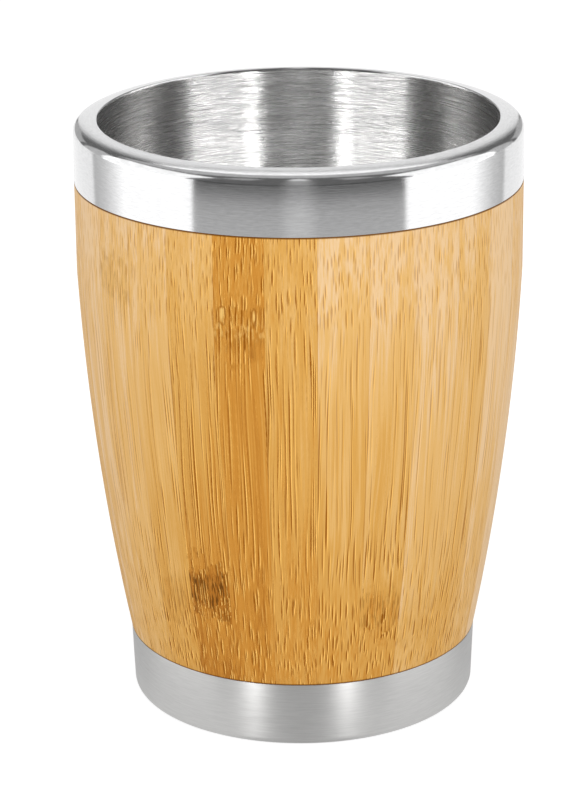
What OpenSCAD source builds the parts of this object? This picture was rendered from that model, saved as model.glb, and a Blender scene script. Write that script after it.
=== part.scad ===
// A double-walled steel cup in a sleeve of bamboo staves.
// The origin is the centre of the foot, +Z is up and the photographed front faces -Y.

/* [Cup] */
// Height from the table to the top of the lip
cup_h = 119; // [112:1:135]
// Diameter over the steel band at the mouth
rim_d = 88; // [80:0.5:100]

/* [Lip and band] */
// Height of the bare steel band, from its lower edge to the top of the lip
band_h = 12.1; // [8:0.1:20]
// Radius of the round between the lip and the band
lip_round_r = 1.8; // [1:0.1:2.5]
// Outward fall of the lip's polished top, in degrees
lip_fall = 10; // [2:1:16]

/* [Bamboo sleeve] */
// Number of staves glued side by side
stave_count = 28; // [20:1:36]
// Direction of the first glue joint, in degrees from the front towards +X
first_joint_angle = 4.25; // [0:0.25:12]
// Thickness of a stave under the steel band
stave_top_wall = 2.6; // [2:0.1:3.4]
// Thickness of a stave where it stands on the base cap
stave_foot_wall = 4; // [3:0.1:4.8]
// Height of the sleeve's upright stretch under the band
sleeve_upright_h = 18; // [6:1:30]
// Bulge of the sleeve's curved stretch past its own chord
sleeve_bulge = 1.4; // [0.6:0.1:2.2]

/* [Base cap] */
// Height of the base cap
cap_h = 13.2; // [10:0.1:20]
// Diameter of the cap at its upper edge
cap_top_d = 70.2; // [60:0.2:80]
// Inward lean of the cap's wall, from its upper edge to the table
cap_lean = 0.5; // [0.1:0.1:1.2]
// Radius of the cap's rounded lower edge
cap_round_r = 1.5; // [0.8:0.1:2.4]
// Thickness of the cap's sheet
cap_wall = 0.6; // [0.4:0.1:0.7]
// Width of the flat ring that the cup stands on
foot_ring_w = 3.1; // [2:0.1:5]
// Depth of the hollow in the underside
recess_h = 1.2; // [0.6:0.1:1.6]

/* [Steel cup] */
// Thickness of the liner's and the shell's sheet
steel_wall = 0.5; // [0.3:0.1:0.7]
// Depth of the upright mouth, from the top of the lip
mouth_upright_h = 12.6; // [8:0.2:24]
// Height of the drinking floor above the table
floor_h = 8; // [6.5:0.5:12]
// Radius of the drinking floor's round corner
floor_round_r = 6; // [3:0.5:9]
// Height of the flange on the shell's bottom plate
flange_h = 3; // [2:0.1:3.5]

/* [Clearances] */
// Level gap between the liner and the shell at the mouth
mouth_gap = 1; // [0.4:0.1:2]
// Level gap between the liner and the shell at the drinking floor
floor_gap = 1.3; // [0.6:0.1:4]
// Gap between the shell and the staves' bore
sleeve_gap = 0.2; // [0.1:0.05:0.3]
// Gap between the staves' spigots and the cap
spigot_gap = 0.15; // [0.1:0.05:0.3]
// Gap between the end of the spigots and the cap's raised floor
spigot_end_gap = 0.6; // [0.3:0.1:1.5]

/* [Hidden] */
// Length by which each cut runs past the faces that it opens
overrun = 1;
// Overlap of a section's rounds with the straight lines that they touch
tangent_overlap = 0.002;
// Facets of a round piece, and of the very large circle that draws the sleeve
round_facets = 192;
outline_facets = 1800;
$fn = round_facets;

bamboo_colours = ["#dcb27c", "#d2a468", "#e2bd8d"];
polished_colour = "#d6d9dc";
brushed_colour = "#b9bcbf";

rim_r = rim_d / 2;
cap_top_r = cap_top_d / 2;
cap_foot_r = cap_top_r - cap_lean;
recess_r = cap_foot_r - cap_round_r - foot_ring_w;

// Heights at which the pieces meet
band_z = cup_h - band_h;
upright_z = band_z - sleeve_upright_h;
panel_z = recess_h + cap_wall;
spigot_z = panel_z + spigot_end_gap;
mouth_z = cup_h - mouth_upright_h;

// The liner stands inside the sleeve's bore by two clearances and two sheets of steel
mouth_r = rim_r - stave_top_wall - sleeve_gap - 2 * steel_wall - mouth_gap;
floor_r = bore_r(floor_h) - sleeve_gap - 2 * steel_wall - floor_gap;

// The sleeve's outline is an arc from the cap's edge to the upright stretch
chord_r = rim_r - cap_top_r;
chord_z = upright_z - cap_h;
chord = norm([chord_r, chord_z]);
outline_r = (chord * chord / 4 + sleeve_bulge * sleeve_bulge) / (2 * sleeve_bulge);
outline_centre = [
    (rim_r + cap_top_r) / 2 - (outline_r - sleeve_bulge) * chord_z / chord,
    (cap_h + upright_z) / 2 + (outline_r - sleeve_bulge) * chord_r / chord
];

stave_angle = 360 / stave_count;
front_angle = -90;

function stave_name(i) = str("stave_", i < 10 ? "0" : "", i);

// Radius of the staves' tapered bore at height z
function bore_r(z) =
    let (foot_r = cap_top_r - stave_foot_wall, top_r = rim_r - stave_top_wall)
    foot_r + (top_r - foot_r) * (z - cap_h) / (band_z - cap_h);

// Height of the lip's top and of its underside at radius r
function lip_top_z(r) = cup_h - (r - mouth_r) * tan(lip_fall);
function lip_under_z(r) = lip_top_z(r) - steel_wall / cos(lip_fall);

// Half section inside a cone that stands on its smaller end
module cone_section(low_r, high_r, low_z, high_z) {
    polygon([[0, low_z], [low_r, low_z], [high_r, high_z], [0, high_z]]);
}

// Half section of a tapered cup with a rounded lower corner, grown outwards by a wall
// and carried on past its top by a rise
module cup_section(low_r, high_r, low_z, high_z, round_r, grow = 0, rise = 0) {
    fall = atan((high_r - low_r) / (high_z - low_z));
    centre = [low_r + round_r * tan(fall) - round_r / cos(fall), low_z + round_r];
    corner_r = round_r + grow;
    end_r = high_r + grow / cos(fall) + rise * tan(fall);
    translate(centre) circle(corner_r);
    polygon([
        [0, low_z - grow],
        [centre[0], low_z - grow],
        centre,
        centre + (corner_r - tangent_overlap) * [cos(fall), -sin(fall)],
        [end_r, high_z + rise],
        [0, high_z + rise]
    ]);
}

// Half section of the lip and band, shrunk inwards by a wall
module band_section(shrink) {
    corner_r = lip_round_r - shrink;
    centre_r = rim_r - lip_round_r;
    centre_z = lip_top_z(centre_r) - lip_round_r / cos(lip_fall);
    translate([centre_r, centre_z]) circle(corner_r);
    polygon([
        [0, band_z + shrink],
        [rim_r - shrink, band_z + shrink],
        [rim_r - shrink, centre_z],
        [centre_r, centre_z],
        [centre_r, centre_z] + (corner_r - tangent_overlap) * [sin(lip_fall), cos(lip_fall)],
        [mouth_r, lip_top_z(mouth_r) - shrink / cos(lip_fall)],
        [0, lip_top_z(mouth_r) - shrink / cos(lip_fall)]
    ]);
}

// Half section inside the sleeve's turned outline
module outline_section() {
    intersection() {
        translate([0, cap_h]) square([rim_r, chord_z]);
        translate(outline_centre) circle(outline_r + tangent_overlap, $fn = outline_facets);
    }
    translate([0, upright_z]) square([rim_r, sleeve_upright_h]);
}

module stave_section() {
    spigot_top_r = cap_top_r - cap_wall - spigot_gap;
    spigot_low_r = cap_foot_r - cap_wall - spigot_gap;
    low_share = spigot_z / cap_h;
    difference() {
        union() {
            outline_section();
            cone_section(
                spigot_low_r + (spigot_top_r - spigot_low_r) * low_share, spigot_top_r, spigot_z, cap_h
            );
        }
        cone_section(
            bore_r(spigot_z - overrun), bore_r(band_z + overrun), spigot_z - overrun, band_z + overrun
        );
    }
}

module stave(i) {
    start = front_angle + first_joint_angle + (i - 1) * stave_angle;
    color(bamboo_colours[i % len(bamboo_colours)])
        rotate([0, 0, start])
            rotate_extrude(angle = stave_angle) stave_section();
}

// Outer steel skin: the lip, the bare band and the hidden wall that the staves stand round
module outer_shell() {
    top_r = bore_r(band_z) - sleeve_gap;
    low_r = bore_r(panel_z) - sleeve_gap;
    cut_r = bore_r(panel_z - overrun) - sleeve_gap;
    color(polished_colour)
        rotate_extrude()
            difference() {
                union() {
                    band_section(0);
                    cone_section(low_r, top_r, panel_z, band_z);
                }
                band_section(steel_wall);
                cone_section(cut_r - steel_wall, top_r - steel_wall, panel_z - overrun, band_z);
                translate([0, band_z]) square([top_r - steel_wall, steel_wall + overrun]);
                translate([0, band_z]) square([mouth_r, band_h + overrun]);
            }
}

// Half section of the liner, grown outwards by a wall and open to a given height
module liner_section(grow, high_z) {
    fall = atan((mouth_r - floor_r) / (mouth_z - floor_h));
    side_r = mouth_r + grow;
    knee_drop = grow * tan(fall / 2);
    cup_section(floor_r, mouth_r, floor_h, mouth_z, floor_round_r, grow, -knee_drop);
    polygon([[0, mouth_z - knee_drop], [side_r, mouth_z - knee_drop], [side_r, high_z], [0, high_z]]);
}

// Inner steel cup: an upright mouth, a tapered wall and a flat floor with a round corner
module liner() {
    side_r = mouth_r + steel_wall;
    color(brushed_colour)
        rotate_extrude()
            difference() {
                liner_section(steel_wall, cup_h);
                liner_section(0, cup_h + overrun);
                polygon([
                    [0, cup_h + overrun],
                    [0, lip_under_z(mouth_r)],
                    [mouth_r, lip_under_z(mouth_r)],
                    [side_r + overrun, lip_under_z(side_r + overrun)],
                    [side_r + overrun, cup_h + overrun]
                ]);
            }
}

// Plate with a flange, pressed into the shell's lower end and seated on the cap
module shell_bottom() {
    inset = sleeve_gap + steel_wall;
    plate_z = panel_z + flange_h;
    color(polished_colour)
        rotate_extrude()
            difference() {
                cone_section(bore_r(panel_z) - inset, bore_r(plate_z) - inset, panel_z, plate_z);
                cone_section(
                    bore_r(panel_z - overrun) - inset - steel_wall,
                    bore_r(plate_z - steel_wall) - inset - steel_wall,
                    panel_z - overrun,
                    plate_z - steel_wall
                );
            }
}

// Drawn steel cap round the staves' spigots, with a foot ring and a raised panel
module base_cap() {
    color(brushed_colour)
        rotate_extrude()
            difference() {
                cup_section(cap_foot_r, cap_top_r, 0, cap_h, cap_round_r);
                difference() {
                    cup_section(cap_foot_r, cap_top_r, 0, cap_h, cap_round_r, -cap_wall, overrun);
                    square([recess_r + cap_wall, panel_z]);
                }
                translate([0, -overrun]) square([recess_r, recess_h + overrun]);
            }
}

for (i = [1 : stave_count]) {
    stave(i);
}
outer_shell();
liner();
shell_bottom();
base_cap();
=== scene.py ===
import math

import bpy
from mathutils import Matrix, Vector


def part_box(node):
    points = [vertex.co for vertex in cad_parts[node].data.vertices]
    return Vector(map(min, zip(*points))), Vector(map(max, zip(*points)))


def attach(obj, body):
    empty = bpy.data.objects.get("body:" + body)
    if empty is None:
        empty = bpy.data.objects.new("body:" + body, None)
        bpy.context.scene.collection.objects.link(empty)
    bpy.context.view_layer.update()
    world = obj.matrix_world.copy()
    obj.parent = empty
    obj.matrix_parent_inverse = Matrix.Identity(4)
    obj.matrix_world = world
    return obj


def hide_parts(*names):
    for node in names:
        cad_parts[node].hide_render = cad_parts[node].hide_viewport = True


# A double-walled steel cup in a sleeve of bamboo staves, dressed over its CAD frame.
# Lengths in the geometry are metres, written as millimetres times MM. The bamboo
# material works in millimetres, because its grain is measured in tenths of them.
MM = 0.001

STAVE_COUNT = 28
STAVE_NODES = ["stave_%02d" % (i + 1) for i in range(STAVE_COUNT)]
STAVE_ANGLE = math.tau / STAVE_COUNT
FRONT_ANGLE = math.radians(-90)
FIRST_JOINT_ANGLE = math.radians(4.25)

# Camera, from the fit of the photograph's lip, steel edges and outlines
CAMERA_DISTANCE = 592.8 * MM
CAMERA_HEIGHT = 269.2 * MM
CAMERA_TILT = math.radians(19.436)
CAMERA_PAN = math.radians(-0.316)
CAMERA_ROLL = math.radians(-0.595)
CAMERA_LENS = 140.7
CAMERA_SENSOR = 36.0

# Steel
SHEET = 0.5 * MM
CAP_SHEET = 0.6 * MM
LIP_ROUND = 1.8 * MM
LIP_FALL = math.radians(10)
LIP_CROWN_FALL = math.radians(17)
LIP_ROUND_STEPS = 14
MOUTH_UPRIGHT = 12.6 * MM
CAP_LEAN = 0.5 * MM
CAP_ROUND = 1.5 * MM
FOOT_RING = 3.1 * MM
RECESS_DEPTH = 1.2 * MM
FLOOR_ROUND = 6.0 * MM
FLOOR_GAP = 1.3 * MM
KNEE_REACH = 2.0 * MM
EDGE_EASE = 0.12 * MM
LIP_EDGE_EASE = 0.4 * MM
TURN_STEPS = 288
ON_AXIS = 1e-6
SHARP_ANGLE = math.radians(28)

# Bamboo sleeve
SLEEVE_UPRIGHT = 18.0 * MM
SLEEVE_BULGE = 1.4 * MM
STAVE_TOP_WALL = 2.6 * MM
STAVE_FOOT_WALL = 4.0 * MM
SLEEVE_GAP = 0.2 * MM
SPIGOT_GAP = 0.15 * MM
JOINT_EASE = 0.03 * MM
JOINT_EASE_WIDTH = 0.08 * MM
STAVE_COLUMNS = 10

# Studio
FLOOR_HALF = 6.0
LAMP_REACH = 1.25

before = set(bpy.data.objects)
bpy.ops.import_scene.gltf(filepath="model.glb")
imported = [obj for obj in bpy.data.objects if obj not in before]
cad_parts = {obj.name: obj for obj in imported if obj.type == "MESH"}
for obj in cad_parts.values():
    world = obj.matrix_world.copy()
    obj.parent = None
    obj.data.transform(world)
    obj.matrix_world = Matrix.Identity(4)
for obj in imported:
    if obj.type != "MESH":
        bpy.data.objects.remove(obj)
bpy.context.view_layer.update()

shell_low, shell_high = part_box("outer_shell")
liner_low, liner_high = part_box("liner")
_, cap_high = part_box("base_cap")
stave_low, stave_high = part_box("stave_01")

CUP_H = shell_high.z
RIM_R = shell_high.x
BAND_Z = stave_high.z
SPIGOT_Z = stave_low.z
SHELL_FOOT_Z = shell_low.z
CAP_H = cap_high.z
CAP_TOP_R = cap_high.x
LINER_OUT_R = liner_high.x
MOUTH_R = LINER_OUT_R - SHEET
DRINK_FLOOR_Z = liner_low.z + SHEET
CAP_FOOT_R = CAP_TOP_R - CAP_LEAN
RECESS_R = CAP_FOOT_R - CAP_ROUND - FOOT_RING
PANEL_Z = RECESS_DEPTH + CAP_SHEET
MOUTH_Z = CUP_H - MOUTH_UPRIGHT
UPRIGHT_Z = BAND_Z - SLEEVE_UPRIGHT


# Sections and turned pieces

def bore_r(z):
    """Radius of the staves' tapered bore at height z."""
    foot_r = CAP_TOP_R - STAVE_FOOT_WALL
    top_r = RIM_R - STAVE_TOP_WALL
    return foot_r + (top_r - foot_r) * (z - CAP_H) / (BAND_Z - CAP_H)


def lip_top_z(r):
    return CUP_H - (r - MOUTH_R) * math.tan(LIP_FALL)


def lip_under_z(r):
    return lip_top_z(r) - SHEET / math.cos(LIP_FALL)


def arc(centre, radius, start, end, steps):
    """Points on a circular arc in the (r, z) half plane, angles in radians from +r."""
    angles = [start + (end - start) * k / steps for k in range(steps + 1)]
    return [(centre[0] + radius * math.cos(a), centre[1] + radius * math.sin(a)) for a in angles]


def along(start, end, steps):
    """Points from start to just before end, evenly spaced."""
    return [
        tuple(start[k] + (end[k] - start[k]) * s / steps for k in (0, 1)) for s in range(steps)
    ]


def bend(start, middle, end, steps):
    """Points on the curve that leaves start towards middle and reaches end from it."""
    a, p, b = Vector(start), Vector(middle), Vector(end)
    out = []
    for k in range(steps + 1):
        t = k / steps
        q = a * (1 - t) ** 2 + p * 2 * t * (1 - t) + b * t ** 2
        out.append((q.x, q.y))
    return out


def corner(before, point, after, ease, steps=3):
    """The two tangent points of a small round at a section's corner, and the curve between."""
    p = Vector(point)
    a = p + (Vector(before) - p).normalized() * ease
    b = p + (Vector(after) - p).normalized() * ease
    return bend(a, p, b, steps)


def cup_corner(low_r, high_r, low_z, high_z, round_r):
    """Centre of a tapered cup's rounded lower corner, and the wall's fall in radians."""
    fall = math.atan2(high_r - low_r, high_z - low_z)
    return (low_r + round_r * math.tan(fall) - round_r / math.cos(fall), low_z + round_r), fall


def grid_faces(rows, columns):
    """Quads of a grid of points in rows, whose last row joins the first."""
    faces = []
    for i in range(rows):
        here, there = i * columns, (i + 1) % rows * columns
        for c in range(columns - 1):
            faces.append((here + c, here + c + 1, there + c + 1, there + c))
    return faces


def new_piece(name, points, faces, material):
    mesh = bpy.data.meshes.new(name)
    mesh.from_pydata(points, [], faces)
    mesh.validate()
    for polygon in mesh.polygons:
        polygon.use_smooth = True
    mesh.set_sharp_from_angle(angle=SHARP_ANGLE)
    mesh.materials.append(material)
    piece = bpy.data.objects.new(name, mesh)
    bpy.context.scene.collection.objects.link(piece)
    return piece


def turned_piece(name, section, material):
    """Turns a closed section, listed anticlockwise in (r, z), round the cup's axis.

    A point on the axis becomes one vertex, so that discs close in a fan.
    """
    points, rings = [], []
    for r, z in section:
        if r < ON_AXIS:
            rings.append([len(points)] * TURN_STEPS)
            points.append((0, 0, z))
            continue
        rings.append(list(range(len(points), len(points) + TURN_STEPS)))
        for k in range(TURN_STEPS):
            a = math.tau * k / TURN_STEPS
            points.append((r * math.cos(a), r * math.sin(a), z))
    faces = []
    for low, high in zip(rings, rings[1:] + rings[:1]):
        for k in range(TURN_STEPS):
            n = (k + 1) % TURN_STEPS
            ring = [low[k], low[n], high[n], high[k]]
            face = [v for i, v in enumerate(ring) if v != ring[i - 1]]
            if len(face) > 2:
                faces.append(face)
    return new_piece(name, points, faces, material)


# Node helpers

def add(tree, kind, inputs=None, **settings):
    """Adds a node. inputs maps a socket's name or number to a value or to a socket."""
    made = tree.nodes.new(kind)
    for key, value in settings.items():
        setattr(made, key, value)
    for key, value in (inputs or {}).items():
        if isinstance(value, bpy.types.NodeSocket):
            tree.links.new(value, made.inputs[key])
        else:
            made.inputs[key].default_value = value
    return made


def maths(tree, operation, *values):
    return add(tree, "ShaderNodeMath", dict(enumerate(values)), operation=operation).outputs[0]


def ramp(tree, value, low, high, out_low=0.0, out_high=1.0):
    """Smooth step of value from low to high, mapped to out_low and out_high."""
    inputs = {
        "Value": value, "From Min": low, "From Max": high, "To Min": out_low, "To Max": out_high,
    }
    made = add(tree, "ShaderNodeMapRange", inputs, interpolation_type="SMOOTHSTEP")
    return made.outputs["Result"]


def mixed(tree, factor, first, second, blend_type="MIX"):
    """The colour first where factor is 0, and second where it is 1."""
    inputs = {0: factor, 6: first, 7: second}
    settings = {"data_type": "RGBA", "blend_type": blend_type, "clamp_factor": True}
    return add(tree, "ShaderNodeMix", inputs, **settings).outputs[2]


def vector(tree, x, y, z):
    return add(tree, "ShaderNodeCombineXYZ", {0: x, 1: y, 2: z}).outputs[0]


def split(tree, where):
    """The x, y and z of a vector."""
    return add(tree, "ShaderNodeSeparateXYZ", {0: where}).outputs


def stretched(tree, where, *shares):
    """A vector with its x, y and z multiplied by the three shares."""
    inputs = {0: where, 1: shares}
    return add(tree, "ShaderNodeVectorMath", inputs, operation="MULTIPLY").outputs[0]


def length(tree, where):
    return add(tree, "ShaderNodeVectorMath", {0: where}, operation="LENGTH").outputs["Value"]


def noise(tree, where, scale, detail=2.0, roughness=0.5):
    inputs = {"Vector": where, "Scale": scale, "Detail": detail, "Roughness": roughness}
    return add(tree, "ShaderNodeTexNoise", inputs).outputs[0]


def new_material(name):
    material = bpy.data.materials.new(name)
    material.use_nodes = True
    shader = material.node_tree.nodes["Principled BSDF"]
    return material, material.node_tree, shader


# Steel finishes

# How much denser than the lines the short streaks and the fine lines are, along x, y and z
STREAK_SHARES = (3.0, 3.0, 0.7)
FINE_LINE_SHARES = (4.0, 4.0, 13.0)


def steel(
    name, colour, roughness, anisotropy, line_height, line_length, line_depth, contrast, spread=0.0
):
    """Stainless steel with fine lines that run round the cup's axis.

    line_height is the lines' size across, line_length their length and line_depth the
    bump's height, all in metres. contrast is the share by which short streaks of a third
    of that length lighten and darken the steel. spread tips the finest lines up and down,
    which smears a highlight upright.
    """
    material, tree, shader = new_material(name)
    where = add(tree, "ShaderNodeTexCoord").outputs["Object"]
    x, y, z = split(tree, where)
    radius = length(tree, vector(tree, x, y, 0.0))
    across = maths(tree, "DIVIDE", maths(tree, "ADD", z, radius), line_height)
    along_x = maths(tree, "DIVIDE", x, line_length)
    along_y = maths(tree, "DIVIDE", y, line_length)
    place = vector(tree, along_x, along_y, across)
    lines = noise(tree, place, 1.0, detail=3.0, roughness=0.6)
    rough_share = ramp(tree, lines, 0.3, 0.7, 0.85, 1.15)
    tree.links.new(maths(tree, "MULTIPLY", rough_share, roughness), shader.inputs["Roughness"])
    streaks = noise(tree, stretched(tree, place, *STREAK_SHARES), 1.0, detail=3.0, roughness=0.6)
    tone = ramp(tree, streaks, 0.25, 0.75, 1 - contrast, 1 + contrast)
    grey = vector(tree, tone, tone, tone)
    tint = mixed(tree, 1.0, (*colour, 1.0), grey, blend_type="MULTIPLY")
    tree.links.new(tint, shader.inputs["Base Color"])
    shader.inputs["Metallic"].default_value = 1.0
    shader.inputs["Anisotropic"].default_value = anisotropy
    shader.inputs["Anisotropic Rotation"].default_value = 0.25
    tangent = add(tree, "ShaderNodeTangent", direction_type="RADIAL", axis="Z")
    tree.links.new(tangent.outputs[0], shader.inputs["Tangent"])
    bump = add(tree, "ShaderNodeBump", {"Strength": 1.0, "Distance": line_depth, "Height": lines})
    normal = bump.outputs[0]
    if spread:
        fine_lines = noise(tree, stretched(tree, place, *FINE_LINE_SHARES), 1.0, detail=1.0)
        tip = vector(tree, 0.0, 0.0, maths(tree, "MULTIPLY_ADD", fine_lines, 2 * spread, -spread))
        tipped = add(tree, "ShaderNodeVectorMath", {0: normal, 1: tip}, operation="ADD").outputs[0]
        made = add(tree, "ShaderNodeVectorMath", {0: tipped}, operation="NORMALIZE")
        normal = made.outputs[0]
    tree.links.new(normal, shader.inputs["Normal"])
    return material


# Bamboo

# Ground colours from the palest stave to the deepest. The last, past tone 1, holds the
# deepest streaks and knuckles, and the foot of stave 26, which is partly painted shade.
BAMBOO_GROUNDS = [
    (0.76, 0.525, 0.290, 1.0),
    (0.71, 0.423, 0.142, 1.0),
    (0.635, 0.333, 0.074, 1.0),
    (0.56, 0.243, 0.034, 1.0),
    (0.41, 0.150, 0.014, 1.0),
]
BUNDLE_DARK = (0.28, 0.085, 0.0, 1.0)
BUNDLE_LIGHT = (0.98, 0.58, 0.15, 1.0)
# The knuckle brown also paints the shade line in the gap where the sleeve meets the steel
KNUCKLE_AND_GAP_SHADE_BROWN = (0.15, 0.050, 0.001, 1.0)
EYE_PALE = (0.95, 0.64, 0.21, 1.0)

# Tone of each stave at its top and foot, from 0, pale, to 1, deep golden. A few run past
# both. The tones are partly the cane's own and partly painted light: most tops are paler
# as painted light on the upper sleeve, and the feet deeper as painted shade where the
# sleeve turns down. The staves are counted from the first joint towards +X.
TOP_TONES_WITH_PAINTED_LIGHT = [
    0.11, 0.08, 0.07, 0.19, -0.10, 0.13, 0.40, 0.15, 0.30, 0.55, 0.20, 0.10, 0.35, 0.25,
    0.70, 0.20, 0.15, 0.40, 0.28, 0.50, 0.18, 0.20, 0.06, 0.12, 0.16, 0.28, 0.94, 0.56,
]
FOOT_TONES_WITH_PAINTED_SHADE = [
    0.78, 0.73, 0.42, 0.58, 0.38, -0.18, 0.60, 0.50, 0.55, 0.85, 0.55, 0.45, 0.60, 0.65,
    0.95, 0.50, 0.45, 0.70, 0.60, 0.80, 0.50, 0.50, 0.25, 0.42, 0.68, 1.19, 0.98, 0.82,
]
# Where a cane's knuckle crosses a stave: stave number, height share of the sleeve, strength, eyes
KNUCKLES = [
    (27, 0.805, 0.25, 1.0),
    (26, 0.215, 1.0, 0.0),
    (25, 0.17, 0.25, 0.0),
    (2, 0.165, 0.38, 0.0),
    (3, 0.105, 0.12, 0.0),
    (24, 0.86, 0.25, 0.0),
    (8, 0.62, 0.30, 1.0),
    (12, 0.30, 0.55, 0.0),
    (16, 0.72, 0.30, 1.0),
    (20, 0.22, 0.45, 0.0),
]
# Pale eyes and dark strokes of a knuckle with buds: place across the stave and above the
# knuckle, half width and half height, in millimetres
BUD_EYES = [(-3.4, 3.0, 0.65, 1.2), (2.9, 2.6, 0.45, 1.7)]
BUD_STROKES = [
    (-1.6, 0.4, 0.26, 3.6),
    (0.6, 2.9, 0.20, 1.5),
    (1.1, -1.4, 0.26, 2.3),
    (-0.5, 3.3, 0.16, 1.3),
    (-2.4, -1.2, 0.15, 1.5),
    (2.3, -0.8, 0.18, 1.8),
]

# Lean of the fibres from upright, and how far a stave may differ from it
FIBRE_LEAN = math.radians(5.4)
LEAN_SPREAD = math.radians(0.5)
# The fibres bend below and above these heights, by this rate, in millimetres
BEND_BELOW, BEND_ABOVE = 40.0, 85.0
BEND_RATE = 0.0009
# Distance between bundles across and into the strip, and from a dark one to its pale side
BUNDLE_WIDTH, BUNDLE_DEPTH = 0.60, 0.70
LIGHT_SHIFT = -0.21
# Reach of a bundle as a share of that distance: least, spread, growth at a knuckle, soft edge
BUNDLE_REACH, BUNDLE_SPREAD, KNUCKLE_GROWTH, BUNDLE_EDGE = 0.14, 0.16, 0.10, 0.10
# Wander of the bundles across and into the strip, its finer ripple, and swirl at a knuckle
WANDER_SIDE, WANDER_DEEP, RIPPLE_DEEP, SWIRL_DEEP = 1.6, 0.9, 0.35, 1.6
# Steps that give each stave a grain of its own, across it and into it
STAVE_STEP, CHANCE_STEP = 31.0, 40.0
# A knuckle is full to the first distance from its ragged line and gone at the second
KNUCKLE_FULL, KNUCKLE_GONE = 1.5, 7.5
KNUCKLE_RAGGED = 14.0
KNUCKLE_DEPTH = 0.40
# Tone 1 is the ground colour with this number, counted from 0
FULL_TONE_GROUND = 3


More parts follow.
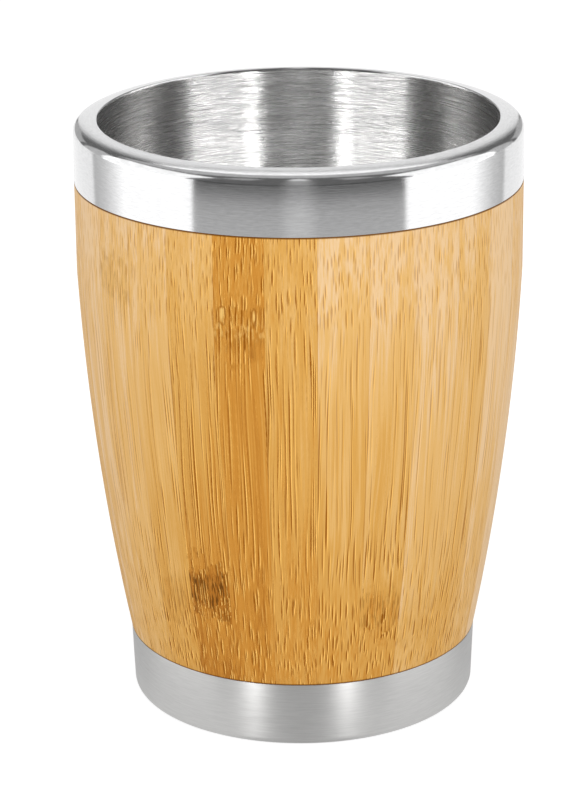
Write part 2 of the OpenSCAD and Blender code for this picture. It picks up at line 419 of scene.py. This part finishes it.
def bamboo():
    """Turned and oiled strips of cane.

    The fibres of a strip run along a plane that leans with the taper of the cup, and the
    turned outline cuts through them. So a bundle of fibres shows as a long line where the
    outline runs along it and as a short dash where the outline crosses it. The fibres bend
    away from the outline at both ends of the sleeve, which makes the dashes shorter there.
    """
    material, tree, shader = new_material("oiled bamboo")
    grain = add(tree, "ShaderNodeAttribute", attribute_name="grain").outputs["Vector"]
    marks = add(tree, "ShaderNodeAttribute", attribute_name="marks").outputs["Vector"]
    stave = add(tree, "ShaderNodeAttribute", attribute_name="stave").outputs["Fac"]
    tone = add(tree, "ShaderNodeAttribute", attribute_name="tone").outputs["Fac"]
    scaled = add(tree, "ShaderNodeVectorMath", {0: grain, 3: 1 / MM}, operation="SCALE").outputs[0]
    out, side, up = split(tree, scaled)
    eye_strength, knuckle_share, knuckle_strength = split(tree, marks)
    chance = add(tree, "ShaderNodeTexWhiteNoise", {"W": stave}, noise_dimensions="1D")
    lean_chance, deep_chance, _ = split(tree, chance.outputs["Color"])

    # Height above a knuckle, in millimetres
    sleeve_mm = (BAND_Z - CAP_H) / MM
    knuckle_up = maths(tree, "MULTIPLY_ADD", knuckle_share, sleeve_mm, CAP_H / MM)
    from_knuckle = maths(tree, "SUBTRACT", up, knuckle_up)
    swirl_place = vector(tree, maths(tree, "MULTIPLY_ADD", stave, 7.0, side), up, out)
    swirl = noise(tree, swirl_place, 0.35, detail=3.0)
    ragged = maths(tree, "SUBTRACT", from_knuckle, KNUCKLE_RAGGED / 2)
    ragged = maths(tree, "MULTIPLY_ADD", swirl, KNUCKLE_RAGGED, ragged)
    near = ramp(tree, maths(tree, "ABSOLUTE", ragged), KNUCKLE_FULL, KNUCKLE_GONE, 1.0, 0.0)
    knuckle = maths(tree, "MULTIPLY", near, knuckle_strength)

    # Coordinates across the fibres: side to side, and deep into the strip
    lean = maths(tree, "SUBTRACT", lean_chance, 0.5)
    lean = maths(tree, "MULTIPLY_ADD", lean, 2 * LEAN_SPREAD, FIBRE_LEAN)
    fallen = maths(tree, "MULTIPLY", up, maths(tree, "TANGENT", lean))
    past_foot = maths(tree, "MAXIMUM", maths(tree, "SUBTRACT", BEND_BELOW, up), 0.0)
    past_top = maths(tree, "MAXIMUM", maths(tree, "SUBTRACT", up, BEND_ABOVE), 0.0)
    past = maths(tree, "MULTIPLY", past_top, past_top)
    past = maths(tree, "MULTIPLY_ADD", past_foot, past_foot, past)
    fallen = maths(tree, "MULTIPLY_ADD", past, BEND_RATE, fallen)
    strip_place = vector(tree, side, stave, up)
    wander_inputs = {
        "Vector": stretched(tree, strip_place, 0.25, 3.7, 0.03), "Scale": 1.0, "Detail": 1.0,
    }
    wander = add(tree, "ShaderNodeTexNoise", wander_inputs)
    wander_side, wander_deep, _ = split(tree, wander.outputs["Color"])
    ripple = noise(tree, stretched(tree, strip_place, 0.8, 5.3, 0.08), 1.0, detail=1.0)
    deep = maths(tree, "SUBTRACT", out, fallen)
    deep = maths(tree, "MULTIPLY_ADD", wander_deep, WANDER_DEEP, deep)
    deep = maths(tree, "MULTIPLY_ADD", ripple, RIPPLE_DEEP, deep)
    deep = maths(tree, "MULTIPLY_ADD", maths(tree, "MULTIPLY", swirl, knuckle), SWIRL_DEEP, deep)
    deep = maths(tree, "MULTIPLY_ADD", deep_chance, CHANCE_STEP, deep)
    across = maths(tree, "MULTIPLY_ADD", wander_side, WANDER_SIDE, side)
    across = maths(tree, "MULTIPLY_ADD", stave, STAVE_STEP, across)

    def bundles(shift):
        """Nearness to a bundle's core from 0 to 1, and a chance of that bundle's own."""
        place_side = maths(tree, "DIVIDE", maths(tree, "ADD", across, shift), BUNDLE_WIDTH)
        place = vector(tree, place_side, maths(tree, "DIVIDE", deep, BUNDLE_DEPTH), 0.0)
        inputs = {"Vector": place, "Scale": 1.0}
        cells = add(tree, "ShaderNodeTexVoronoi", inputs, voronoi_dimensions="2D")
        size_chance, own_chance, _ = split(tree, cells.outputs["Color"])
        size = maths(tree, "MULTIPLY_ADD", size_chance, BUNDLE_SPREAD, BUNDLE_REACH)
        size = maths(tree, "MULTIPLY_ADD", knuckle, KNUCKLE_GROWTH, size)
        reach = maths(tree, "SUBTRACT", cells.outputs["Distance"], size)
        return ramp(tree, reach, -BUNDLE_EDGE, BUNDLE_EDGE, 1.0, 0.0), own_chance

    # The bundles show in patches, and more clearly where the stave is deep in tone
    dark, dark_chance = bundles(0.0)
    light, light_chance = bundles(LIGHT_SHIFT)
    grain_place = vector(tree, across, deep, up)
    patches = noise(tree, stretched(tree, grain_place, 1.0, 0.6, 0.09), 0.9, detail=2.0)
    patchy = ramp(tree, patches, 0.30, 0.58, 0.60, 1.0)
    patchy = maths(tree, "MULTIPLY", patchy, ramp(tree, tone, -0.1, 0.9, 0.36, 1.25))
    dark_share = ramp(tree, dark_chance, 0.1, 0.7, 0.55, 1.0)
    dark_amount = maths(tree, "MULTIPLY", maths(tree, "MULTIPLY", dark, patchy), dark_share)
    light_share = ramp(tree, light_chance, 0.1, 0.7, 0.30, 0.80)
    light_amount = maths(tree, "MULTIPLY", maths(tree, "MULTIPLY", light, patchy), light_share)
    fibre_place = stretched(tree, grain_place, 3.2, 2.2, 0.05)
    fibres = noise(tree, fibre_place, 1.0, detail=3.0, roughness=0.6)
    broad = noise(tree, stretched(tree, grain_place, 0.45, 0.3, 0.018), 1.0, detail=2.0)

    # Ground colour of the strip, from its tone, with broad and fine streaks. The tone carries
    # the painted light of the upper sleeve and the painted shade at its foot.
    depth = maths(tree, "ADD", tone, ramp(tree, broad, 0.25, 0.75, -0.15, 0.17))
    depth = maths(tree, "ADD", depth, ramp(tree, fibres, 0.25, 0.75, -0.16, 0.17))
    depth = maths(tree, "MULTIPLY_ADD", knuckle, KNUCKLE_DEPTH, depth)
    ground = BAMBOO_GROUNDS[0]
    for k in range(1, len(BAMBOO_GROUNDS)):
        share = ramp(tree, depth, (k - 1) / FULL_TONE_GROUND, k / FULL_TONE_GROUND)
        ground = mixed(tree, share, ground, BAMBOO_GROUNDS[k])
    mark_place = vector(tree, across, up, stave)
    stroke_noise = noise(tree, stretched(tree, mark_place, 3.0, 0.28, 1.0), 1.0, detail=1.0)
    strokes = ramp(tree, stroke_noise, 0.50, 0.60)
    colour = mixed(tree, light_amount, ground, BUNDLE_LIGHT)
    colour = mixed(tree, dark_amount, colour, BUNDLE_DARK)
    colour = mixed(tree, maths(tree, "MULTIPLY", strokes, knuckle), colour, KNUCKLE_AND_GAP_SHADE_BROWN)

    # Two pale eyes where buds left the cane, with dark strokes and pale flecks between them
    wobble_side = ramp(tree, ripple, 0.3, 0.7, -0.4, 0.4)
    wobble_up = ramp(tree, swirl, 0.3, 0.7, -0.6, 0.6)

    def oval(centre_side, centre_up, half_width, half_height):
        """Distance from an upright oval's centre, as a share of its reach."""
        level = maths(tree, "DIVIDE", maths(tree, "SUBTRACT", side, centre_side), half_width)
        level = maths(tree, "ADD", level, wobble_side)
        upright = maths(tree, "SUBTRACT", from_knuckle, centre_up)
        upright = maths(tree, "DIVIDE", upright, half_height)
        upright = maths(tree, "ADD", upright, wobble_up)
        squared = maths(tree, "MULTIPLY", level, level)
        return maths(tree, "SQRT", maths(tree, "MULTIPLY_ADD", upright, upright, squared))

    def painted(amount, below, above):
        """below with above over it, by amount, where the knuckle has buds."""
        return mixed(tree, maths(tree, "MULTIPLY", amount, eye_strength), below, above)

    fleck_noise = noise(tree, stretched(tree, mark_place, 1.7, 0.7, 1.0), 1.0, detail=2.0)
    beside = maths(tree, "ABSOLUTE", from_knuckle)
    flecks = ramp(tree, fleck_noise, 0.45, 0.65)
    flecks = maths(tree, "MULTIPLY", flecks, ramp(tree, beside, 0.5, 2.6, 0.30, 0.0))
    colour = painted(flecks, colour, EYE_PALE)
    for spot in BUD_EYES:
        reach = oval(*spot)
        from_ring = maths(tree, "ABSOLUTE", maths(tree, "SUBTRACT", reach, 1.15))
        colour = painted(ramp(tree, reach, 0.2, 1.0, 0.60, 0.0), colour, EYE_PALE)
        colour = painted(ramp(tree, from_ring, 0.0, 0.40, 0.55, 0.0), colour, BUNDLE_DARK)
    for spot in BUD_STROKES:
        colour = painted(ramp(tree, oval(*spot), 0.5, 1.1, 1.0, 0.0), colour, BUNDLE_DARK)

    # Glue line at the strip's two long edges, and a painted shade line in the gap where the
    # strip meets the steel band and cap
    half_width = maths(tree, "MULTIPLY", out, math.tan(STAVE_ANGLE / 2))
    from_edge = maths(tree, "SUBTRACT", half_width, maths(tree, "ABSOLUTE", side))
    colour = mixed(tree, ramp(tree, from_edge, 0.0, 0.10, 0.22, 0.0), colour, BUNDLE_DARK)
    from_band = maths(tree, "SUBTRACT", BAND_Z / MM, up)
    from_steel = maths(tree, "MINIMUM", from_band, maths(tree, "SUBTRACT", up, CAP_H / MM))
    colour = mixed(tree, ramp(tree, from_steel, 0.12, 0.42, 0.95, 0.0), colour, KNUCKLE_AND_GAP_SHADE_BROWN)
    tree.links.new(colour, shader.inputs["Base Color"])

    rough = ramp(tree, fibres, 0.3, 0.7, 0.40, 0.50)
    rough = maths(tree, "ADD", rough, maths(tree, "MULTIPLY", dark_amount, 0.1))
    tree.links.new(rough, shader.inputs["Roughness"])
    shader.inputs["Specular IOR Level"].default_value = 0.10
    relief = maths(tree, "SUBTRACT", maths(tree, "MULTIPLY", fibres, 0.4), dark_amount)
    bump = add(tree, "ShaderNodeBump", {"Strength": 0.3, "Distance": 0.05 * MM, "Height": relief})
    tree.links.new(bump.outputs[0], shader.inputs["Normal"])
    return material


# Pieces

def shell_section():
    """Lip, band, shoulder and hidden wall of the outer skin.

    The lip's flat is crowned: it falls gently at the mouth and by LIP_CROWN_FALL at the
    round. The points run anticlockwise in (r, z).
    """
    centre_r = RIM_R - LIP_ROUND
    centre = (centre_r, lip_top_z(centre_r) - LIP_ROUND / math.cos(LIP_FALL))
    lip_round = arc(centre, LIP_ROUND, math.pi / 2 - LIP_CROWN_FALL, 0, LIP_ROUND_STEPS)
    wall_top = bore_r(BAND_Z) - SLEEVE_GAP
    wall_foot = bore_r(SHELL_FOOT_Z) - SLEEVE_GAP
    lip_edge = (MOUTH_R, CUP_H)
    band_edge = (RIM_R, BAND_Z)
    shoulder = (wall_top, BAND_Z)
    wall_end = (wall_foot, SHELL_FOOT_Z)
    crown_end = lip_round[0]
    crown_half = (crown_end[0] - MOUTH_R) / 2
    crown_middle = (MOUTH_R + crown_half, crown_end[1] + crown_half * math.tan(LIP_CROWN_FALL))
    outer = corner((MOUTH_R, lip_under_z(MOUTH_R)), lip_edge, crown_middle, LIP_EDGE_EASE, 6)
    outer += bend(lip_edge, crown_middle, crown_end, 8)[1:-1]
    outer += lip_round
    outer += corner((RIM_R, centre[1]), band_edge, shoulder, EDGE_EASE)
    outer += along(shoulder, wall_end, 4) + [wall_end]
    inner = [(wall_foot - SHEET, SHELL_FOOT_Z), (wall_top - SHEET, BAND_Z)]
    inner += [(wall_top - SHEET, BAND_Z + SHEET), (RIM_R - SHEET, BAND_Z + SHEET)]
    inner += arc(centre, LIP_ROUND - SHEET, 0, math.pi / 2 - LIP_FALL, 6)
    inner += [(MOUTH_R, lip_under_z(MOUTH_R))]
    return list(reversed(outer + inner))


def liner_section():
    """Inner cup: floor, round corner, tapered wall and upright mouth, with its sheet."""
    foot_r = bore_r(DRINK_FLOOR_Z) - SLEEVE_GAP - 2 * SHEET - FLOOR_GAP
    centre, fall = cup_corner(foot_r, MOUTH_R, DRINK_FLOOR_Z, MOUTH_Z, FLOOR_ROUND)
    below_knee = (MOUTH_R - math.sin(fall) * KNEE_REACH, MOUTH_Z - math.cos(fall) * KNEE_REACH)
    inside = [(0, DRINK_FLOOR_Z)]
    inside += arc(centre, FLOOR_ROUND, -math.pi / 2, -fall, 12)
    inside += [below_knee, (MOUTH_R, MOUTH_Z), (MOUTH_R, MOUTH_Z + KNEE_REACH)]
    inside += [(MOUTH_R, lip_under_z(MOUTH_R))]
    outside = [(LINER_OUT_R, lip_under_z(LINER_OUT_R)), (LINER_OUT_R, MOUTH_Z)]
    outside += arc(centre, FLOOR_ROUND + SHEET, -fall, -math.pi / 2, 8)
    outside += [(0, DRINK_FLOOR_Z - SHEET)]
    return list(reversed(inside + outside))


def cap_section():
    """Base cap: upper edge, leaning wall, rounded foot ring, recess and raised panel."""
    centre, fall = cup_corner(CAP_FOOT_R, CAP_TOP_R, 0, CAP_H, CAP_ROUND)
    edge_r = CAP_TOP_R - CAP_SHEET
    outer = [(edge_r, CAP_H)]
    outer += corner((edge_r, CAP_H), (CAP_TOP_R, CAP_H), (CAP_FOOT_R, 0), EDGE_EASE)
    outer += arc(centre, CAP_ROUND, -fall, -math.pi / 2, 10)
    outer += corner((centre[0], 0), (RECESS_R, 0), (RECESS_R, RECESS_DEPTH), 3 * EDGE_EASE)
    outer += [(RECESS_R, RECESS_DEPTH), (0, RECESS_DEPTH)]
    inner = [(0, PANEL_Z), (RECESS_R + CAP_SHEET, PANEL_Z), (RECESS_R + CAP_SHEET, CAP_SHEET)]
    inner += arc(centre, CAP_ROUND - CAP_SHEET, -math.pi / 2, -fall, 5)
    return outer + inner


def stave_section():
    """Turned outline, shoulder, spigot and bore of one stave, clockwise in (r, z)."""
    spigot_top = CAP_TOP_R - CAP_SHEET - SPIGOT_GAP
    spigot_low = spigot_top - CAP_LEAN * (CAP_H - SPIGOT_Z) / CAP_H
    chord = Vector((RIM_R - CAP_TOP_R, UPRIGHT_Z - CAP_H))
    outline_r = (chord.length_squared / 4 + SLEEVE_BULGE ** 2) / (2 * SLEEVE_BULGE)
    middle = Vector((CAP_TOP_R + RIM_R, CAP_H + UPRIGHT_Z)) / 2
    back = Vector((-chord.y, chord.x)).normalized() * (outline_r - SLEEVE_BULGE)
    centre = middle + back
    start = math.atan2(UPRIGHT_Z - centre.y, RIM_R - centre.x)
    end = math.atan2(CAP_H - centre.y, CAP_TOP_R - centre.x)
    top_in = (bore_r(BAND_Z), BAND_Z)
    outline = [top_in] + corner(top_in, (RIM_R, BAND_Z), (RIM_R, UPRIGHT_Z), EDGE_EASE)
    outline += along((RIM_R, BAND_Z - 2 * EDGE_EASE), (RIM_R, UPRIGHT_Z), 6)
    outline += arc(tuple(centre), outline_r, start, end, 36)[:-1]
    outline += corner(outline[-1], (CAP_TOP_R, CAP_H), (spigot_top, CAP_H), EDGE_EASE)
    outline += [(spigot_top, CAP_H), (spigot_low, SPIGOT_Z), (bore_r(SPIGOT_Z), SPIGOT_Z)]
    return outline


def one_stave(material):
    """A stave whose middle plane holds the +X axis: a sector of the turned section."""
    half = STAVE_ANGLE / 2
    ease_angle = JOINT_EASE_WIDTH / RIM_R
    angles = [-half, -half + ease_angle]
    angles += [-half + STAVE_ANGLE * k / STAVE_COLUMNS for k in range(1, STAVE_COLUMNS)]
    angles += [half - ease_angle, half]
    section = stave_section()
    points = []
    for r, z in section:
        on_face = z > CAP_H - EDGE_EASE and r > bore_r(z) + EDGE_EASE
        for k, a in enumerate(angles):
            ease = JOINT_EASE if on_face and k in (0, len(angles) - 1) else 0
            points.append(((r - ease) * math.cos(a), (r - ease) * math.sin(a), z))
    columns = len(angles)
    faces = grid_faces(len(section), columns)
    rows = range(len(section))
    faces.append([i * columns for i in rows])
    faces.append([i * columns + columns - 1 for i in reversed(rows)])
    return new_piece("stave blank", points, [f[::-1] for f in faces], material)


def stave_ring_tree():
    """Geometry nodes that set copies of one stave side by side round the axis."""
    tree = bpy.data.node_groups.new("ring of staves", "GeometryNodeTree")
    new_socket = tree.interface.new_socket
    new_socket("Stave", in_out="INPUT", socket_type="NodeSocketGeometry")
    new_socket("Stave Count", in_out="INPUT", socket_type="NodeSocketInt")
    new_socket("First Angle", in_out="INPUT", socket_type="NodeSocketFloat")
    new_socket("Finish", in_out="INPUT", socket_type="NodeSocketMaterial")
    new_socket("Sleeve", in_out="OUTPUT", socket_type="NodeSocketGeometry")
    given = add(tree, "NodeGroupInput").outputs
    place = add(tree, "GeometryNodeInputPosition").outputs[0]
    blank = add(
        tree, "GeometryNodeStoreNamedAttribute",
        {"Geometry": given["Stave"], "Name": "grain", "Value": place},
        data_type="FLOAT_VECTOR", domain="POINT",
    ).outputs[0]
    spots = add(tree, "GeometryNodePoints", {"Count": given["Stave Count"]}).outputs[0]
    number = add(tree, "GeometryNodeInputIndex").outputs[0]
    step = maths(tree, "DIVIDE", math.tau, given["Stave Count"])
    turn = maths(tree, "MULTIPLY_ADD", number, step, given["First Angle"])
    spin = add(tree, "FunctionNodeEulerToRotation", {0: vector(tree, 0.0, 0.0, turn)}).outputs[0]
    ring = add(
        tree, "GeometryNodeInstanceOnPoints", {"Points": spots, "Instance": blank, "Rotation": spin}
    ).outputs[0]
    numbered = add(
        tree, "GeometryNodeStoreNamedAttribute",
        {"Geometry": ring, "Name": "stave", "Value": number},
        data_type="FLOAT", domain="INSTANCE",
    ).outputs[0]
    real = add(tree, "GeometryNodeRealizeInstances", {0: numbered}).outputs[0]
    finished = add(tree, "GeometryNodeSetMaterial", {"Geometry": real, "Material": given["Finish"]})
    add(tree, "NodeGroupOutput", {0: finished.outputs[0]})
    return tree


def bamboo_sleeve(material):
    """All the staves as one piece, with each stave's tone and knuckle in its vertices."""
    blank = one_stave(material)
    blank_points = len(blank.data.vertices)
    tree = stave_ring_tree()
    modifier = blank.modifiers.new("ring of staves", "NODES")
    modifier.node_group = tree
    values = {
        "Stave Count": STAVE_COUNT,
        "First Angle": FRONT_ANGLE + FIRST_JOINT_ANGLE + STAVE_ANGLE / 2,
        "Finish": material,
    }
    for item in tree.interface.items_tree:
        if item.in_out == "INPUT" and item.name in values:
            modifier[item.identifier] = values[item.name]
    evaluated = blank.evaluated_get(bpy.context.evaluated_depsgraph_get())
    mesh = bpy.data.meshes.new_from_object(evaluated)
    bpy.data.objects.remove(blank)
    mesh.name = "bamboo_sleeve"
    mesh.attributes.new("marks", "FLOAT_VECTOR", "POINT")
    mesh.attributes.new("tone", "FLOAT", "POINT")
    marks, tones = mesh.attributes["marks"].data, mesh.attributes["tone"].data
    knuckles = {number: row for number, *row in KNUCKLES}
    for i, vertex in enumerate(mesh.vertices):
        number = i // blank_points + 1
        share, strength, eye = knuckles.get(number, (0.5, 0.0, 0.0))
        marks[i].vector = (eye, share, strength)
        # The tone runs from foot to top: painted shade deepens the feet, painted light pales the
        # tops
        rise = (vertex.co.z - CAP_H) / (BAND_Z - CAP_H)
        tones[i].value = FOOT_TONES_WITH_PAINTED_SHADE[number - 1] * (1 - rise) + TOP_TONES_WITH_PAINTED_LIGHT[number - 1] * rise
    sleeve = bpy.data.objects.new("bamboo_sleeve", mesh)
    bpy.context.scene.collection.objects.link(sleeve)
    return sleeve


def finish_piece(piece, slot, *nodes):
    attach(piece, "root")
    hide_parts(*nodes)


# Studio

# Levels at which the floor glows for bare steel alone, as (degrees from the front, level): a
# painted reflection of the panels round the table, and of the table near the cup
PANEL_LEVELS = [
    (0, 1.5), (95, 1.4), (104, 1.0), (110, 0.78), (117, 0.64), (122, 0.56), (124, 1.05),
    (180, 1.05),
]
TABLE_LEVELS = [(0, 0.55), (12, 0.59), (28, 0.79), (60, 0.75), (110, 0.64), (180, 0.62)]


def turn_from_front(tree, where):
    """Angle of a place or direction from the camera's side, 0 to 180, equal to left and right."""
    x, y, _ = split(tree, where)
    turn = maths(tree, "ARCTAN2", x, maths(tree, "MULTIPLY", y, -1.0))
    return maths(tree, "MULTIPLY", maths(tree, "ABSOLUTE", turn), math.degrees(1))


def level_by_turn(tree, turn, stops):
    """Brightness that follows stops of (degrees from the front, level)."""
    top = max(level for _, level in stops)
    made = add(tree, "ShaderNodeValToRGB", {"Fac": maths(tree, "DIVIDE", turn, 180.0)})
    elements = made.color_ramp.elements
    for _ in stops[2:]:
        elements.new(0.5)
    for element, (degree, level) in zip(elements, stops):
        element.position = degree / 180
        element.color = (level / top, level / top, level / top, 1)
    return maths(tree, "MULTIPLY", made.outputs[0], top)


def blend(tree, factor, first, second):
    """first where factor is 0, second where it is 1."""
    return maths(tree, "MULTIPLY_ADD", factor, maths(tree, "SUBTRACT", second, first), first)


def patch(tree, value, low, high, soft):
    """1 between low and high, falling to 0 over soft outside them."""
    rise = ramp(tree, value, low - soft, low)
    return maths(tree, "MULTIPLY", rise, ramp(tree, value, high, high + soft, 1.0, 0.0))


def studio_world():
    """White to the camera and an even light on the cup. Bare steel sees the studio itself.

    turn is a direction's angle from the camera's side and rise its angle above the horizon.
    """
    world = bpy.data.worlds.new("studio")
    bpy.context.scene.world = world
    world.use_nodes = True
    tree = world.node_tree
    tree.nodes.clear()
    where = add(tree, "ShaderNodeTexCoord").outputs["Generated"]
    turn = turn_from_front(tree, where)
    _, _, height = split(tree, where)
    rise = maths(tree, "MULTIPLY", maths(tree, "ARCSINE", height), math.degrees(1))

    # Dark all round, with a white backdrop behind the cup
    backdrop_top = ramp(tree, rise, 33.0, 41.0, 1.0, 0.0)
    backdrop = maths(tree, "MULTIPLY", ramp(tree, turn, 165.0, 168.5), backdrop_top)
    studio = blend(tree, backdrop, 0.15, 0.98)

    # A light over the camera and one at each side of it
    middle_top = ramp(tree, rise, 68.0, 82.0, 1.0, 0.0)
    middle_lamp = maths(tree, "MULTIPLY", patch(tree, turn, -1.0, 3.0, 7.0), middle_top)
    studio = blend(tree, middle_lamp, studio, ramp(tree, rise, 44.0, 60.0, 0.38, 0.95))
    side_rise = patch(tree, rise, 47.0, 60.0, 8.0)
    side_lamps = maths(tree, "MULTIPLY", side_rise, patch(tree, turn, 31.0, 45.0, 6.0))
    studio = blend(tree, side_lamps, studio, 0.42)
    path = add(tree, "ShaderNodeLightPath").outputs
    level = blend(tree, path["Is Glossy Ray"], 0.80, studio)
    level = blend(tree, path["Is Camera Ray"], level, 1.0)
    background = add(tree, "ShaderNodeBackground", {"Color": (1, 1, 1, 1), "Strength": level})
    add(tree, "ShaderNodeOutputWorld", {0: background.outputs[0]})


def studio_floor():
    """A wide pale floor. The camera sees it white, with the cup's shadow on it.

    Bare steel sees the floor glow with a painted reflection, not lit: the table's dark front
    edge, the white panels left and right of the table, and near the cup a painted gleam of
    the softboxes on the table.
    """
    material = bpy.data.materials.new("pale floor")
    material.use_nodes = True
    tree = material.node_tree
    tree.nodes.clear()
    where = add(tree, "ShaderNodeTexCoord").outputs["Object"]
    reach = length(tree, where)
    turn = turn_from_front(tree, where)
    table_edge = ramp(tree, reach, 432 * MM, 464 * MM, 0.42, 0.08)
    front = maths(tree, "ADD", table_edge, ramp(tree, reach, 396 * MM, 424 * MM, 0.12, 0.0))
    front = maths(tree, "MULTIPLY_ADD", patch(tree, turn, -1.0, 2.0, 9.0), 0.16, front)
    sides = level_by_turn(tree, turn, PANEL_LEVELS)
    far = blend(tree, ramp(tree, turn, 51.2, 53.2), front, sides)
    near = level_by_turn(tree, turn, TABLE_LEVELS)
    mirrored = blend(tree, ramp(tree, reach, 90 * MM, 260 * MM), near, far)
    path = add(tree, "ShaderNodeLightPath").outputs
    shader = add(tree, "ShaderNodeBsdfDiffuse", {"Color": (0.78, 0.78, 0.78, 1)}).outputs[0]
    shade = add(tree, "ShaderNodeBsdfDiffuse", {"Color": (0.42, 0.42, 0.42, 1)}).outputs[0]
    lift = add(tree, "ShaderNodeEmission", {"Strength": 0.70}).outputs[0]
    seen = add(tree, "ShaderNodeAddShader", {0: shade, 1: lift}).outputs[0]
    # Painted reflection: for rays from bare steel the floor only glows, by these levels
    mirror = add(tree, "ShaderNodeEmission", {"Strength": mirrored}).outputs[0]
    for ray, shown in (("Is Glossy Ray", mirror), ("Is Camera Ray", seen)):
        shader = add(tree, "ShaderNodeMixShader", {0: path[ray], 1: shader, 2: shown}).outputs[0]
    add(tree, "ShaderNodeOutputMaterial", {0: shader})
    half = FLOOR_HALF
    mesh = bpy.data.meshes.new("floor")
    corners = [(-half, -half, 0), (half, -half, 0), (half, half, 0), (-half, half, 0)]
    mesh.from_pydata(corners, [], [(0, 1, 2, 3)])
    mesh.materials.append(material)
    floor = bpy.data.objects.new("floor", mesh)
    bpy.context.scene.collection.objects.link(floor)
    return floor


def softbox(name, turn, rise, width, height, power, *lit):
    """A soft rectangular lamp that shines on the lit pieces alone.

    turn is its angle from the front towards +X and rise its angle above the cup's middle,
    both in degrees. width and height are in metres and power is in watts.
    """
    turn, rise = math.radians(turn), math.radians(rise)
    data = bpy.data.lights.new(name, "AREA")
    data.shape = "RECTANGLE"
    data.size, data.size_y = width, height
    data.energy = power
    lamp = bpy.data.objects.new(name, data)
    level = math.cos(rise)
    way = Vector((math.sin(turn) * level, -math.cos(turn) * level, math.sin(rise)))
    lamp.location = Vector((0, 0, CUP_H / 2)) + way * LAMP_REACH
    lamp.rotation_mode = "QUATERNION"
    lamp.rotation_quaternion = (-way).to_track_quat("-Z", "Y")
    lamp.visible_camera = False
    receivers = bpy.data.collections.new(name + " receivers")
    for piece in lit:
        receivers.objects.link(piece)
    lamp.light_linking.receiver_collection = receivers
    bpy.context.scene.collection.objects.link(lamp)


def photo_camera():
    data = bpy.data.cameras.new("photo camera")
    data.lens = CAMERA_LENS
    data.sensor_width = CAMERA_SENSOR
    data.clip_start, data.clip_end = 0.05, 20
    camera = bpy.data.objects.new("photo camera", data)
    turn = (
        Matrix.Rotation(-CAMERA_PAN, 4, "Z")
        @ Matrix.Rotation(math.pi / 2 - CAMERA_TILT, 4, "X")
        @ Matrix.Rotation(CAMERA_ROLL, 4, "Z")
    )
    camera.matrix_world = Matrix.Translation((0, -CAMERA_DISTANCE, CAMERA_HEIGHT)) @ turn
    bpy.context.scene.collection.objects.link(camera)
    bpy.context.scene.camera = camera


photo_camera()
studio_world()
floor = studio_floor()

polished = steel(
    "polished steel", (0.72, 0.72, 0.725), roughness=0.14, anisotropy=0.85,
    line_height=0.16 * MM, line_length=5 * MM, line_depth=0.004 * MM, contrast=0.06,
)
brushed = steel(
    "brushed steel", (0.56, 0.555, 0.55), roughness=0.26, anisotropy=1.0,
    line_height=0.20 * MM, line_length=18 * MM, line_depth=0.010 * MM, contrast=0.07, spread=2.4,
)
satin = steel(
    "satin steel", (0.66, 0.655, 0.645), roughness=0.36, anisotropy=0.8,
    line_height=0.18 * MM, line_length=12 * MM, line_depth=0.005 * MM, contrast=0.05,
)
cane = bamboo()

rim = turned_piece("lip_and_band", shell_section(), polished)
inner_cup = turned_piece("steel_liner", liner_section(), brushed)
foot_cap = turned_piece("foot_cap", cap_section(), satin)
sleeve = bamboo_sleeve(cane)
finish_piece(rim, "polished_steel", "outer_shell")
finish_piece(inner_cup, "brushed_liner", "liner")
finish_piece(foot_cap, "satin_steel", "base_cap")
finish_piece(sleeve, "bamboo", *STAVE_NODES)
bottom_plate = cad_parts["shell_bottom"]
bottom_plate.data.materials.clear()
bottom_plate.data.materials.append(brushed)

softbox("left softbox", -36, 33, 0.90, 0.90, 4.6, sleeve, floor)
softbox("right softbox", 42, 33, 0.90, 0.90, 4.9, sleeve, floor)
softbox("top sheet", 180, 49, 0.70, 0.22, 0.55, rim)
softbox("ceiling", 180, 72, 1.70, 1.10, 2.3, rim)
softbox("front panel", 0, 36, 0.90, 0.40, 3.0, inner_cup)
softbox("left foot strip", -31, 10, 0.09, 0.30, 3.8, foot_cap)
softbox("right foot strip", 27.5, 10, 0.09, 0.30, 3.8, foot_cap)
for side in (-1, 1):
    softbox("side panel", side * 85, 22, 1.40, 1.30, 6.8, rim, foot_cap)
    softbox("bright strip", side * 29.5, 36, 0.17, 0.40, 3.9, inner_cup)
    softbox("wide panel", side * 52.5, 36, 0.76, 0.40, 10, inner_cup)
    softbox("thin tube", side * 124, 36, 0.035, 0.40, 0.30, inner_cup)
    softbox("rear side panel", side * 123.5, 16.5, 0.463, 0.717, 0.44, rim)
    softbox("low rear panel", side * 151.5, 10, 0.509, 0.418, 0.22, rim)

scene = bpy.context.scene
scene.view_settings.view_transform = "Standard"
